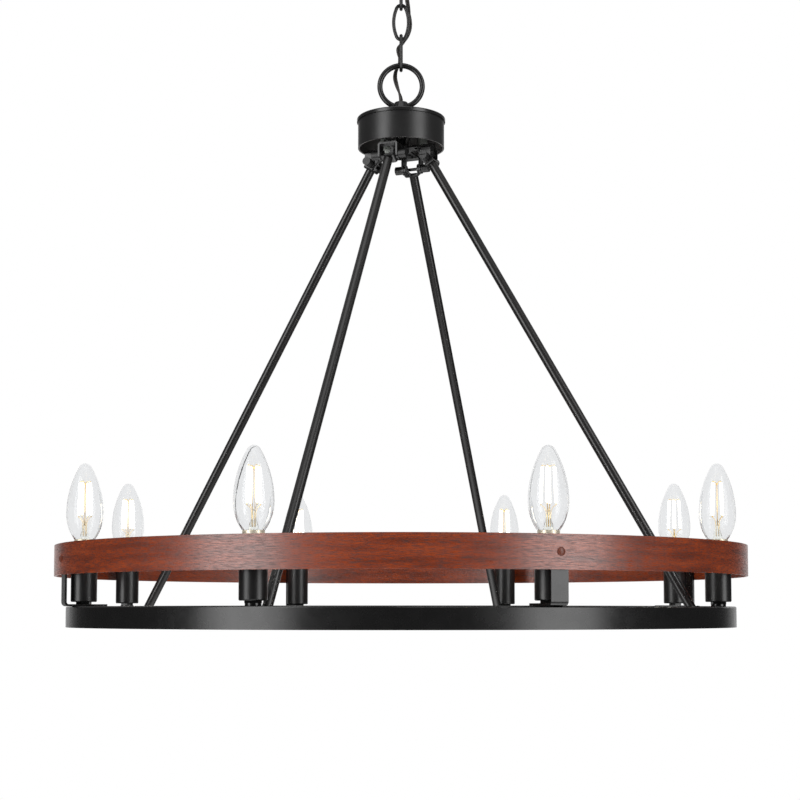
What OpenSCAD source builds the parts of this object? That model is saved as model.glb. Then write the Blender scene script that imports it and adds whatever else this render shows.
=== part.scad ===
// Wagon wheel chandelier: a wood-look band over a black lamp ring, eight candle lamps,
// four jointed rods, a drum hub, three links of chain and a ceiling canopy.
// Millimetres, +Z up. The origin is on the ceiling, in the middle of the crossbar's top face.

/* [Wheel] */
// Outside diameter of the wood-look band
band_d = 685.8; // [560:0.1:760]
// Height of the wood-look band
band_h = 29.5; // [24:0.5:45]
// Thickness of the wood-look band
band_t = 2.5; // [1.5:0.1:4]
// Gap between the band's bottom edge and the lamp ring's top
band_gap = 29.4; // [20:0.1:45]
// How far the lamp ring's outside stands in from the band's outside
ring_inset = 11.6; // [8:0.1:18]
// Width of the lamp ring, across the channel
ring_w = 21; // [20:0.5:30]
// Height of the lamp ring
ring_h = 20; // [18:0.5:30]
// Sheet thickness of the lamp ring and of its bottom cover
ring_sheet = 1.2; // [0.8:0.1:2]
// Radius of the lamp ring's upper edges
ring_edge_r = 1.6; // [1.3:0.1:2.5]
// Number of lamps around the wheel
lamps = 8; // [8:4:8]

/* [Band straps] */
// Width of the straps that carry the band
strap_w = 16; // [14:0.5:20]
// Thickness of the straps
strap_t = 2; // [1.5:0.1:3]
// Outside radius of the straps' bend
strap_bend_r = 4; // [3.2:0.1:6]
// How far the strap's top stays below the band's top
strap_down = 5; // [2:0.5:8]
// How far the straps' feet reach in past the lamp ring
strap_foot_in = 10; // [0:0.5:12]
// Diameter of the band screws' shank
band_screw_d = 4; // [3:0.1:5]
// Diameter of the band screws' head
band_screw_head_d = 7.6; // [6.5:0.1:9]
// Height of the band screws' head
band_screw_head_h = 1.6; // [1:0.1:2.5]

/* [Lamp holders] */
// Outside diameter of the lamp holder covers
cover_d = 24.3; // [23:0.1:27]
// Height of the lamp holder covers
cover_h = 50.8; // [47:0.1:60]
// Wall of the lamp holder covers
cover_wall = 1; // [0.6:0.1:1.3]
// Outside diameter of the insulated lamp holders
holder_d = 20; // [18:0.1:21]
// Height of the insulated lamp holders
holder_h = 44.8; // [42:0.1:48]
// Height of the nut under each lamp holder cover
lamp_nut_h = 2.1; // [1.8:0.1:4]
// Width across flats of the nut under each lamp holder cover
lamp_nut_w = 12.7; // [12.5:0.1:16]

/* [Bulbs] */
// Largest diameter of the bulb glass
glass_d = 34.5; // [31:0.1:37]
// Height of the bulb glass
glass_h = 71.5; // [65:0.5:80]
// Diameter of the glass at its bottom
glass_neck_d = 19; // [17:0.1:20]
// Height of the widest place above the glass's bottom
glass_wide_z = 24; // [20:0.5:28]
// Radius of the glass's tip
glass_tip_r = 6.5; // [5:0.1:8]
// Wall of the bulb glass
glass_wall = 0.8; // [0.5:0.1:1.2]
// Diameter of the bulb's screw shell
shell_d = 11.8; // [11.4:0.1:12]
// Length of the bulb's screw shell
shell_l = 14; // [12:0.5:16]
// Length of each light filament
filament_l = 28.6; // [22:0.1:34]

/* [Rods] */
// Outside diameter of the rods
rod_d = 9.3; // [8:0.1:10]
// Wall of the rods
rod_wall = 1; // [0.8:0.1:1.4]
// Radius of the rods' upper pivots from the wheel's axis
pivot_r = 31; // [28:0.1:33]
// How far the upper pivots lie below the hub's rim
pivot_drop = 14; // [11:0.1:16]
// From the hub's rim down to the lamp ring's top
hub_rise = 469.5; // [380:0.5:560]
// Diameter of the pivot bolts' shank
bolt_d = 3.2; // [2.8:0.1:4.5]
// Diameter of the pivot bolts' round heads and cap nuts
bolt_head_d = 8.5; // [7.5:0.1:9.5]
// Length of the pivot bolts' round heads and cap nuts
bolt_head_l = 8; // [6:0.1:9]
// Outside width of the hub brackets, along the bolt
bracket_w = 21; // [19:0.1:23]
// Width of the bracket and clevis legs, across the bolt
bracket_leg_w = 10.4; // [9:0.1:12]
// Sheet thickness of the brackets and clevises
bracket_sheet = 1.8; // [1.5:0.1:2.2]
// From the upper pivot down to the underside of the clevis's web
clevis_drop = 6.8; // [6:0.1:8]

/* [Hub] */
// Outside diameter of the hub drum
hub_d = 88.4; // [80:0.1:96]
// Height of the hub, lid included
hub_h = 31; // [26:0.5:36]
// Wall of the hub drum
hub_wall = 1.5; // [1:0.1:2]
// Height of the lid's overhanging lip
lid_lip = 3.8; // [3:0.1:6]
// Wall of the hub lid
lid_wall = 1; // [0.8:0.1:1.5]
// Thickness of the cross plate that carries the brackets
spider_t = 2; // [1.5:0.1:3]
// Width of the cross plate's arms
spider_arm_w = 12; // [11:0.5:14]

/* [Loops and chain] */
// Outside diameter of the hub's ring loop
loop_d = 49.1; // [42:0.1:56]
// Wire diameter of the hub's ring loop
loop_wire = 5.5; // [4.5:0.1:6.5]
// Height of the hub loop's ribbed collar above the lid
loop_collar_h = 17.2; // [16.8:0.1:20]
// Outside diameter of the ceiling ring loop
top_loop_d = 32; // [30:0.1:38]
// Wire diameter of the ceiling ring loop
top_loop_wire = 5; // [4:0.1:5.5]
// Outside length of a chain link
link_l = 39.6; // [39.3:0.1:40.1]
// Outside width of a chain link
link_w = 18.8; // [18:0.1:20]
// Wire diameter of the chain
link_wire = 3.5; // [3:0.1:3.8]
// Radius of the middle of the wire at a link's ends
link_end_r = 5; // [4.9:0.1:5.6]
// Diameter of the lead that hangs along the chain
cord_d = 4.4; // [3.6:0.1:4.6]

/* [Ceiling fitting] */
// Diameter of the canopy
canopy_d = 127; // [118:0.5:150]
// Height of the canopy
canopy_h = 26; // [25:0.5:27]
// Sheet thickness of the canopy
canopy_wall = 1.2; // [0.8:0.1:1.6]
// Radius of the canopy's shoulder
canopy_shoulder_r = 16; // [10:0.5:20]
// Length of the crossbar
crossbar_l = 102; // [99:0.5:108]
// Width of the crossbar
crossbar_w = 20; // [18:0.5:25]
// Thickness of the crossbar
crossbar_t = 2; // [1.5:0.1:2.5]
// Distance between the crossbar's fixing slots
fixing_gap = 88.9; // [82:0.1:89]
// Width of the fixing slots
fixing_slot_w = 4.6; // [4:0.1:5.5]
// Length of the fixing slots, end to end
fixing_slot_l = 9; // [7:0.5:10]
// Outside diameter of the threaded nipples
nipple_d = 10; // [9.6:0.1:10.2]
// Bore of the threaded nipples
nipple_bore = 7; // [6.6:0.1:7.2]
// Width of the nipples' hex nuts across the flats
nut_flats = 14; // [13:0.5:15]
// Height of the nipples' hex nuts
nut_h = 3; // [2.5:0.1:4]

/* [Hidden] */
$fn = 96;

// Clearances
seat_gap = 0.3;     // between pieces that move against each other
fit_gap = 0.1;      // round pieces that sit in each other
cut = 1;            // how far a cutting shape runs past the face it cuts

// Azimuths, in degrees from +X, counterclockwise seen from above
lamp_step = 360 / lamps;
lamp_azimuths = [for (i = [0:lamps - 1]) lamp_step * (i + 0.5)];
rod_azimuths = [for (i = [0:3]) 90 * i - 22.5];
strap_azimuths = [for (i = [0:3]) 90 * i + 22.5];

// Ceiling fitting, from the ceiling down
nipple_above = 6;
loop_body_d = 22;
dome_top_d = 13;
dome_ribs = 12;
loop_body_top = -12;
canopy_play = 2;
collar_h = 8;
collar_d = 33;
top_loop_R = (top_loop_d - top_loop_wire) / 2;
top_loop_drop = 24;
top_loop_z = -canopy_h - top_loop_drop;
top_loop_dome_z = top_loop_z + 6;
top_nipple_end = -canopy_h - 3;
ground_screw_x = -24;
ground_screw_d = 4;
ground_head_d = 8;
ground_head_h = 2.6;

// Chain: the middles of the wires, each link hanging on the one above
link_a = (link_l - link_wire) / 2;
link_b = (link_w - link_wire) / 2;
link_side_r = (link_b * link_b + pow(link_a - link_end_r, 2) - link_end_r * link_end_r)
    / (2 * (link_b - link_end_r));
link_turn = atan2(link_a - link_end_r, link_side_r - link_b);
link_seam = 0.14;
link_seam_l = 1.2;
link_step = link_l - 2 * link_wire - seat_gap;
link_1_z = top_loop_z - top_loop_R + (top_loop_wire + link_wire) / 2 + seat_gap - link_a;
link_2_z = link_1_z - link_step;
link_3_z = link_2_z - link_step;
loop_R = (loop_d - loop_wire) / 2;
loop_z = link_3_z - link_a + (link_wire + loop_wire) / 2 + seat_gap - loop_R;

// Hub, from its lid down
lid_above_loop = loop_R + loop_wire / 2 + 9.8;
hub_top = loop_z - lid_above_loop;
hub_thread_l = 9;
rim_z = hub_top - hub_h;
lid_d = hub_d + 2 * (lid_wall + 2 * fit_gap);
drum_top = hub_top - lid_wall;
spider_z = rim_z - 1.7;
spider_center_r = 12;
spider_wall_gap = 5.2;
spider_reach = hub_d / 2 - hub_wall - spider_wall_gap;
washer_d = 14;
lead_hole_r = 18.5;
lead_hole_d = 7;
nipple_slot_w = 6;
nipple_slot_h = 8;
nipple_slot_z = rim_z + 9.5;
pivot_z = rim_z - pivot_drop;

// Wheel, from the lamp ring's top
ring_top = rim_z - hub_rise;
ring_r = band_d / 2 - ring_inset;
ring_inner = ring_r - ring_w;
lamp_r = ring_r - ring_w / 2;
ring_bottom = ring_top - ring_h;
band_r = band_d / 2;
band_bottom = ring_top + band_gap;
band_mid = band_bottom + band_h / 2;
strap_face = sqrt(pow(band_r - band_t, 2) - pow(strap_w / 2, 2)) - fit_gap / 2;

// Rods run in radial planes between the upper and the lower pivots
lug_pivot_z = ring_top - ring_h / 2;
lug_pivot_r = ring_inner - 10.2;
lug_w = rod_d + 0.6 + 2 * bracket_sheet;
lug_h = 13;
lug_seat = ring_inner - sqrt(pow(ring_inner, 2) - pow(lug_w / 2, 2)) + 0.02;
rod_lean = atan2(lug_pivot_r - pivot_r, pivot_z - lug_pivot_z);
rod_span = sqrt(pow(lug_pivot_r - pivot_r, 2) + pow(pivot_z - lug_pivot_z, 2));
rod_tail = 4.8;
rod_exit = 8;
clevis_w = bracket_w - 2 * bracket_sheet - 2 * 0.4;
lug_bolt_head_d = 7;
lug_bolt_head_l = 2.8;
bolt_in_nut = 3;
lug_bolt_in_nut = 2;
bolt_slot = 1.2;

// Lamps, from the lamp ring's top
nut_z = ring_top + strap_t;
cover_z = nut_z + lamp_nut_h;
holder_z = cover_z + cover_wall;
holder_top = holder_z + holder_h;
holder_bore_d = shell_d + 1.8;
socket_depth = 18;
socket_seat = 2;
contact_z = holder_top - socket_depth;
contact_t = 0.5;
contact_w = 1.8;
base_tip_z = contact_z + 3;
base_tip_h = 2;
base_shell_z = base_tip_z + base_tip_h;
base_cone_h = 5;
base_collar_h = 6.5;
glass_z = base_shell_z + shell_l + base_cone_h + base_collar_h;
lamp_nipple_bottom = ring_top - ring_sheet - nut_h - 1;
lamp_nipple_top = holder_z + 6;

// Bulb glass: a lower arc, a long upper arc and a round tip
glass_r = glass_d / 2;
neck_r = glass_neck_d / 2;
low_r = (pow(glass_r - neck_r, 2) + pow(glass_wide_z, 2)) / (2 * (glass_r - neck_r));
tip_z = glass_h - glass_tip_r;
up_r = (glass_r * glass_r + pow(tip_z - glass_wide_z, 2) - glass_tip_r * glass_tip_r)
    / (2 * (glass_r - glass_tip_r));
up_turn = atan2(tip_z - glass_wide_z, up_r - glass_r);

// Light filaments, above the glass's bottom
filament_z = 22.6;
filament_d = 1.5;
filament_low_r = 6.4;
filament_high_r = 5.2;
support_drop = 6.2;
support_d = 0.7;
support_t = 0.7;
stem_d = 8.5;
stem_h = 13;
stem_tip_d = 2;
stem_tip_h = 4;
stem_wire_d = 1.6;
base_tip_d = 4;
base_step_d = 9;

// Wiring
lead_d = 2.2;
lead_sides = 6;
lead_entry_z = 3.5;
lead_hole = 4.6;
lamp_lead_d = 3;
harness_d = 4;
harness_z = ring_bottom + 6;
cap_d = 10.5;
cap_h = 13;
cap_rim_h = 2;
cap_lead_r = 2.6;
cap_places = [[-16.3, -6.7, rim_z - 6], [22, 14, rim_z + 1.5]];
hub_cap_angles = [20, 90];
rod_caps = [1, 1, 0, 0];
rod_cap_angles = [330, 210, 130, 275];

// The lead's route down from the ceiling nipple to the hub, as points on its middle,
// each set from the height of the loop or link it passes
cord_1_route = [
    [0, 0, 5], [0, 0, -12], [0, 0, top_loop_z + 20], [0, 0, top_loop_z + 9],
    [1, 1, top_loop_z + 3.5], [3.4, 3.6, top_loop_z - 2], [5.4, 6.2, top_loop_z - 8],
    [6, 7.8, top_loop_z - 14], [6, 8.2, link_1_z + 6], [6, 8.2, link_1_z]
];
cord_2_route = [
    [6, 8.2, link_1_z], [6, 8.2, link_1_z - 6], [6.6, 7.4, link_1_z - 13],
    [8.6, 6, link_1_z - 20], [10, 5.2, link_2_z + 6], [10, 5.2, link_2_z]
];
cord_3_route = [
    [10, 5.2, link_2_z], [10, 5.2, link_2_z - 5], [7.6, 7.4, link_2_z - 11],
    [2.8, 10.8, link_2_z - 16], [-2.6, 12.2, link_2_z - 20.5], [-7.4, 11, link_3_z + 6],
    [-7.6, 9.8, link_3_z]
];
cord_4_route = [
    [-7.6, 9.8, link_3_z], [-7.8, 8.6, link_3_z - 6], [-6.8, 8.2, link_3_z - 12],
    [-5.9, 7.2, loop_z + 16], [-5.2, 5.6, loop_z + 9.5], [-4.2, 3.6, loop_z + 2.5],
    [-2.4, 1.6, loop_z - 5], [-0.8, 0.4, loop_z - 11], [0, 0, hub_top + 18],
    [0, 0, hub_top + 4], [0, 0, rim_z + 17]
];
cord_sides = 8;

// Placing
module around(azimuths, r) {
    for (a = azimuths) rotate([0, 0, a]) translate([r, 0, 0]) children();
}

// A bar along Y through the radial plane's point (r, z)
module cross_bar(d, l, z) {
    translate([0, 0, z]) rotate([90, 0, 0]) cylinder(d = d, h = l, center = true);
}

module tube(d, bore, h) {
    difference() {
        cylinder(d = d, h = h);
        translate([0, 0, -cut]) cylinder(d = bore, h = h + 2 * cut);
    }
}

module hex_nut(flats, bore, h) {
    difference() {
        cylinder(d = flats / cos(30), h = h, $fn = 6);
        translate([0, 0, -cut]) cylinder(d = bore, h = h + 2 * cut);
    }
}

// Half of a cup's section, open upwards at y = 0, r wide and h deep, with a shoulder radius
module cup_section(r, h, shoulder) {
    translate([0, -h]) square([r - shoulder, h]);
    translate([0, shoulder - h]) square([r, h - shoulder]);
    translate([r - shoulder, shoulder - h]) circle(r = shoulder);
}

module cup(r, h, wall, shoulder) {
    rotate_extrude() difference() {
        intersection() {
            cup_section(r, h, shoulder);
            translate([0, -h]) square([r, h]);
        }
        intersection() {
            cup_section(r - wall, h - wall, shoulder - wall);
            translate([0, wall - h]) square([r - wall, h]);
        }
    }
}

// Chain link in the XZ plane, its middle at the origin
module link_arc(r, from, to) {
    rotate([0, 0, from]) rotate_extrude(angle = to - from) translate([r, 0])
        circle(d = link_wire, $fn = 32);
}

module chain_link() {
    color("#2b2b2d") rotate([90, 0, 0]) {
        for (s = [0, 180]) rotate([0, 0, s]) {
            translate([link_b - link_side_r, 0]) link_arc(link_side_r, -link_turn, link_turn);
            translate([0, link_a - link_end_r]) link_arc(link_end_r, link_turn, 180 - link_turn);
            for (m = [0, 1]) mirror([m, 0, 0]) translate([0, link_a - link_end_r])
                rotate([0, 0, link_turn]) translate([link_end_r, 0, 0]) rotate([90, 0, 0])
                    cylinder(d = link_wire + link_seam, h = link_seam_l, center = true, $fn = 32);
        }
    }
}

module chain_link_1() { translate([0, 0, link_1_z]) rotate([0, 0, 90]) chain_link(); }
module chain_link_2() { translate([0, 0, link_2_z]) chain_link(); }
module chain_link_3() { translate([0, 0, link_3_z]) rotate([0, 0, 90]) chain_link(); }

// Lead: a round tube swept along its route with rings of points
function unit(v) = v / norm(v);
function heading(p, i) = unit(p[min(i + 1, len(p) - 1)] - p[max(i - 1, 0)]);
function bend(a, b, u, v, t) = (2 * t * t * t - 3 * t * t + 1) * a + (t * t * t - 2 * t * t + t) * u
    + (3 * t * t - 2 * t * t * t) * b + (t * t * t - t * t) * v;
function smooth(p, n) = [
    for (i = [0:len(p) - 2], k = [0:n - 1]) let (l = norm(p[i + 1] - p[i]))
        bend(p[i], p[i + 1], l * heading(p, i), l * heading(p, i + 1), k / n),
    p[len(p) - 1]
];
function ring_points(c, t, r, sides) =
    let (u = unit(cross(t, [0, 1, 0])), v = cross(t, u))
    [for (k = [0:sides - 1]) c + r * (cos(360 * k / sides) * u + sin(360 * k / sides) * v)];

module swept(route, d, sides, steps) {
    p = smooth(route, steps);
    n = len(p);
    last = len(route) - 1;
    way = concat(
        [heading(route, 0)], [for (i = [1:n - 2]) heading(p, i)], [heading(route, last)]
    );
    points = [for (i = [0:n - 1], q = ring_points(p[i], way[i], d / 2, sides)) q];
    walls = [
        for (i = [0:n - 2], k = [0:sides - 1])
            [i * sides + k, (i + 1) * sides + k, (i + 1) * sides + (k + 1) % sides,
             i * sides + (k + 1) % sides]
    ];
    ends = [[for (k = [0:sides - 1]) k], [for (k = [sides - 1:-1:0]) (n - 1) * sides + k]];
    polyhedron(points, concat(walls, ends), convexity = 4);
}

module cord(route) {
    color("#333230") swept(route, cord_d, cord_sides, 2);
}

module cord_1() { cord(cord_1_route); }
module cord_2() { cord(cord_2_route); }
module cord_3() { cord(cord_3_route); }
module cord_4() { cord(cord_4_route); }

// Ceiling fitting
module ceiling_crossbar() {
    color("silver") translate([0, 0, -crossbar_t]) difference() {
        translate([-crossbar_l / 2, -crossbar_w / 2, 0]) cube([crossbar_l, crossbar_w, crossbar_t]);
        translate([0, 0, -cut]) cylinder(d = nipple_d + 2 * fit_gap, h = crossbar_t + 2 * cut);
        translate([ground_screw_x, 0, -cut])
            cylinder(d = ground_screw_d + 2 * fit_gap, h = crossbar_t + 2 * cut);
        for (s = [-1, 1]) translate([s * fixing_gap / 2, 0, -cut]) fixing_slot();
    }
}

module fixing_slot() {
    run = fixing_slot_l - fixing_slot_w;
    for (s = [-1, 1]) translate([s * run / 2, 0, 0])
        cylinder(d = fixing_slot_w, h = crossbar_t + 2 * cut);
    translate([-run / 2, -fixing_slot_w / 2, 0]) cube([run, fixing_slot_w, crossbar_t + 2 * cut]);
}

module crossbar_nipple() {
    color("goldenrod") translate([0, 0, top_nipple_end])
        tube(nipple_d, nipple_bore, nipple_above - top_nipple_end);
}

module crossbar_nuts() {
    color("goldenrod") for (z = [0, -crossbar_t - nut_h])
        translate([0, 0, z]) hex_nut(nut_flats, nipple_d + 2 * fit_gap, nut_h);
}

module ground_screw() {
    slot_w = 1;
    color("green") translate([ground_screw_x, 0, 0]) {
        translate([0, 0, -crossbar_t - ground_head_h]) difference() {
            cylinder(d = ground_head_d, h = ground_head_h, $fn = 6);
            translate([-ground_head_d, -slot_w / 2, -cut]) cube([2 * ground_head_d, slot_w, slot_w + cut]);
        }
        translate([0, 0, -crossbar_t - cut]) cylinder(d = ground_screw_d, h = crossbar_t + cut + 3);
    }
}

module canopy() {
    color("#2b2b2d") difference() {
        cup(canopy_d / 2, canopy_h, canopy_wall, canopy_shoulder_r);
        translate([0, 0, -canopy_h - cut])
            cylinder(d = loop_body_d + 2 * canopy_play, h = canopy_wall + 2 * cut);
    }
}

module canopy_collar() {
    flutes = 20;
    flute_r = 1.5;
    color("#2b2b2d") translate([0, 0, -canopy_h - collar_h]) difference() {
        cylinder(d = collar_d, h = collar_h);
        translate([0, 0, -cut]) cylinder(d = loop_body_d + 2 * fit_gap, h = collar_h + 2 * cut);
        for (i = [0:flutes - 1]) rotate([0, 0, i * 360 / flutes])
            translate([(collar_d + flute_r) / 2, 0, -cut])
                cylinder(r = flute_r, h = collar_h + 2 * cut, $fn = 24);
    }
}

// Ribbed dome that a ring loop grows out of: base at z = 0, round top at z = h
module ribbed_dome(base_d, top_d, h, ribs) {
    body_h = 0.42 * h;
    rib = 1.4;
    cylinder(d = base_d, h = body_h);
    translate([0, 0, body_h]) cylinder(d1 = base_d, d2 = top_d, h = h - body_h);
    intersection() {
        translate([0, 0, body_h]) cylinder(d1 = base_d + rib, d2 = top_d + rib, h = h - body_h - rib / 2);
        for (i = [0:ribs - 1]) rotate([0, 0, i * 360 / ribs])
            translate([0, -rib / 2, body_h]) cube([base_d, rib, h]);
    }
}

module ring_loop(R, wire) {
    rotate([90, 0, 0]) rotate_extrude() translate([R, 0]) circle(d = wire, $fn = 48);
}

module canopy_loop() {
    dome_h = -canopy_h - collar_h - top_loop_dome_z;
    color("#2b2b2d") difference() {
        union() {
            translate([0, 0, -canopy_h - collar_h])
                cylinder(d = loop_body_d, h = loop_body_top + canopy_h + collar_h);
            translate([0, 0, -canopy_h - collar_h]) mirror([0, 0, 1])
                ribbed_dome(loop_body_d, dome_top_d, dome_h, dome_ribs);
            translate([0, 0, top_loop_z]) ring_loop(top_loop_R, top_loop_wire);
        }
        translate([0, 0, top_nipple_end - fit_gap])
            cylinder(d = nipple_d + 2 * fit_gap, h = loop_body_top - top_nipple_end + fit_gap + cut);
        translate([0, 0, top_loop_dome_z - top_loop_wire])
            cylinder(d = nipple_bore, h = loop_body_top - top_loop_dome_z + top_loop_wire);
    }
}

// Hub
module hub_loop() {
    color("#2b2b2d") difference() {
        union() {
            translate([0, 0, hub_top]) ribbed_dome(loop_body_d, dome_top_d, loop_collar_h, dome_ribs);
            translate([0, 0, loop_z]) ring_loop(loop_R, loop_wire);
        }
        translate([0, 0, hub_top - cut]) cylinder(d = nipple_d + 2 * fit_gap, h = hub_thread_l + cut);
        translate([0, 0, hub_top]) cylinder(d = nipple_bore, h = loop_collar_h + loop_wire);
    }
}

module hub_nipple() {
    bottom = spider_z - nut_h - 1.5;
    color("goldenrod") difference() {
        translate([0, 0, bottom]) tube(nipple_d, nipple_bore, hub_top + hub_thread_l - 0.5 - bottom);
        translate([-nipple_slot_w / 2, -nipple_d, nipple_slot_z])
            cube([nipple_slot_w, 2 * nipple_d, nipple_slot_h]);
    }
}

module hub_nuts() {
    color("goldenrod") for (z = [drum_top - hub_wall - nut_h, spider_z + spider_t, spider_z - nut_h])
        translate([0, 0, z]) hex_nut(nut_flats, nipple_d + 2 * fit_gap, nut_h);
}

module hub_lid() {
    color("#2b2b2d") difference() {
        translate([0, 0, hub_top - lid_lip]) mirror([0, 0, 1])
            cup(lid_d / 2, lid_lip, lid_wall, lid_wall + 0.2);
        translate([0, 0, hub_top - lid_wall - cut])
            cylinder(d = nipple_d + 2 * fit_gap, h = lid_wall + 2 * cut);
    }
}

module hub_drum() {
    drum_h = drum_top - rim_z;
    color("#2b2b2d") translate([0, 0, rim_z]) difference() {
        cylinder(d = hub_d, h = drum_h);
        translate([0, 0, -cut]) cylinder(d = hub_d - 2 * hub_wall, h = drum_h - hub_wall + cut);
        cylinder(d = nipple_d + 2 * fit_gap, h = drum_h + cut);
    }
}

module hub_spider() {
    arm_l = spider_reach - spider_arm_w / 2;
    color("#2b2b2d") translate([0, 0, spider_z]) difference() {
        union() {
            cylinder(r = spider_center_r, h = spider_t);
            for (a = rod_azimuths) rotate([0, 0, a]) {
                translate([0, -spider_arm_w / 2, 0]) cube([arm_l, spider_arm_w, spider_t]);
                translate([arm_l, 0, 0]) cylinder(d = spider_arm_w, h = spider_t);
            }
        }
        translate([0, 0, -cut]) cylinder(d = nipple_d + 2 * fit_gap, h = spider_t + 2 * cut);
        around(rod_azimuths, lead_hole_r) translate([0, 0, -cut])
            cylinder(d = lead_hole_d, h = spider_t + 2 * cut);
    }
}

// Bent sheet U about a pivot at the origin: legs with round ends across Y, web at z = reach
module yoke(w, leg_w, reach, t) {
    bend = t + 0.8;
    difference() {
        intersection() {
            rotate([90, 0, 0]) linear_extrude(w + 2 * cut, center = true) {
                circle(d = leg_w);
                translate([-leg_w / 2, 0]) square([leg_w, reach + cut]);
            }
            rotate([90, 0, 90]) linear_extrude(leg_w + 2 * cut, center = true) difference() {
                yoke_outline(w, leg_w, reach, bend);
                translate([0, -cut]) yoke_outline(w - 2 * t, leg_w, reach - t + cut, bend - t);
            }
        }
        cross_bar(bolt_d + 2 * fit_gap, 2 * w, 0);
    }
}

module yoke_outline(w, leg_w, reach, bend) {
    translate([-w / 2, -leg_w]) square([w, leg_w + reach - bend]);
    translate([bend - w / 2, -leg_w]) square([w - 2 * bend, leg_w + reach]);
    for (s = [-1, 1]) translate([s * (w / 2 - bend), reach - bend]) circle(r = bend, $fn = 24);
}

module hub_brackets() {
    color("#2b2b2d") around(rod_azimuths, pivot_r) translate([0, 0, pivot_z])
        yoke(bracket_w, bracket_leg_w, spider_z - pivot_z, bracket_sheet);
}

// Turns a rod's own frame, hanging down -Z from its upper pivot, into place
module on_rod() {
    around(rod_azimuths, pivot_r) translate([0, 0, pivot_z]) rotate([0, -rod_lean, 0]) children();
}

module rod_clevises() {
    color("#2b2b2d") on_rod() difference() {
        rotate([180, 0, 0]) yoke(clevis_w, bracket_leg_w - 2 * fit_gap, clevis_drop, bracket_sheet);
        translate([0, 0, -clevis_drop - cut]) cylinder(d = rod_d - 2 * rod_wall, h = bracket_sheet + 2 * cut);
    }
}

module pivot_bolts() {
    color("#3a3a3c") {
        around(rod_azimuths, pivot_r) translate([0, 0, pivot_z]) rotate([90, 0, 0]) {
            translate([0, 0, -bracket_w / 2 - bolt_in_nut])
                cylinder(d = bolt_d, h = bracket_w + bolt_in_nut + cut);
            translate([0, 0, bracket_w / 2]) slotted_head(bolt_head_d, bolt_head_l);
        }
        around(rod_azimuths, lug_pivot_r) translate([0, 0, lug_pivot_z]) rotate([90, 0, 0]) {
            translate([0, 0, -lug_w / 2 - lug_bolt_in_nut])
                cylinder(d = bolt_d, h = lug_w + lug_bolt_in_nut + cut);
            translate([0, 0, lug_w / 2]) slotted_head(lug_bolt_head_d, lug_bolt_head_l);
        }
    }
}

module slotted_head(d, l) {
    difference() {
        cylinder(d = d, h = l);
        translate([-d, -bolt_slot / 2, l - bolt_slot]) cube([2 * d, bolt_slot, bolt_slot + cut]);
    }
}

module cap_nut(d, l, bore_h) {
    difference() {
        cylinder(d = d, h = l);
        translate([0, 0, -cut]) cylinder(d = bolt_d + 2 * fit_gap, h = bore_h + cut + fit_gap);
    }
}

module pivot_nuts() {
    color("#3a3a3c") {
        around(rod_azimuths, pivot_r) translate([0, bracket_w / 2, pivot_z]) rotate([-90, 0, 0])
            cap_nut(bolt_head_d, bolt_head_l, bolt_in_nut);
        around(rod_azimuths, lug_pivot_r) translate([0, lug_w / 2, lug_pivot_z]) rotate([-90, 0, 0])
            cap_nut(lug_bolt_head_d, lug_bolt_head_l, lug_bolt_in_nut);
    }
}

module rod(i) {
    tube_l = rod_span + rod_tail - clevis_drop;
    color("#2b2b2d") rotate([0, 0, rod_azimuths[i]]) translate([pivot_r, 0, pivot_z])
        rotate([0, -rod_lean, 0]) difference() {
            translate([0, 0, -rod_span - rod_tail]) tube(rod_d, rod_d - 2 * rod_wall, tube_l);
            cross_bar(bolt_d + 2 * fit_gap, 2 * rod_d, -rod_span);
            translate([0, 0, rod_exit - rod_span]) rotate([0, 90, 0]) cylinder(d = lead_hole, h = rod_d);
        }
}

module rod_1() { rod(0); }
module rod_2() { rod(1); }
module rod_3() { rod(2); }
module rod_4() { rod(3); }

module ring_lugs() {
    color("#2b2b2d") around(rod_azimuths, lug_pivot_r) translate([0, 0, lug_pivot_z]) difference() {
        rotate([0, 90, 0]) yoke(lug_w, lug_h, ring_inner - lug_pivot_r - lug_seat, bracket_sheet);
        translate([0, 0, lead_entry_z]) rotate([0, 90, 0]) cylinder(d = lead_hole, h = lug_pivot_r);
    }
}

// Wheel
module lamp_ring() {
    e = ring_edge_r;
    color("#2b2b2d") difference() {
        translate([0, 0, ring_bottom]) rotate_extrude() translate([ring_inner, 0]) difference() {
            union() {
                square([ring_w, ring_h - e]);
                translate([e, 0]) square([ring_w - 2 * e, ring_h]);
                for (x = [e, ring_w - e]) translate([x, ring_h - e]) circle(r = e, $fn = 32);
            }
            translate([ring_sheet, -cut])
                square([ring_w - 2 * ring_sheet, ring_h - ring_sheet + cut]);
        }
        around(lamp_azimuths, lamp_r) translate([0, 0, ring_top - ring_sheet - cut])
            cylinder(d = nipple_d + 2 * fit_gap, h = ring_sheet + 2 * cut);
        around(rod_azimuths, ring_inner - cut) translate([0, 0, lug_pivot_z + lead_entry_z])
            rotate([0, 90, 0]) cylinder(d = lead_hole, h = ring_sheet + 2 * cut);
    }
}

module ring_cover() {
    color("#2b2b2d") translate([0, 0, ring_bottom]) rotate_extrude()
        translate([ring_inner + ring_sheet + fit_gap, 0])
            square([ring_w - 2 * (ring_sheet + fit_gap), ring_sheet]);
}

module wood_band() {
    color("#8a4a32") difference() {
        translate([0, 0, band_bottom]) rotate_extrude() translate([band_r - band_t, 0])
            square([band_t, band_h]);
        around(strap_azimuths, band_r) translate([0, 0, band_mid]) rotate([0, 90, 0])
            cylinder(d = band_screw_d + 2 * fit_gap, h = 6 * band_t, center = true);
    }
}

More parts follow.
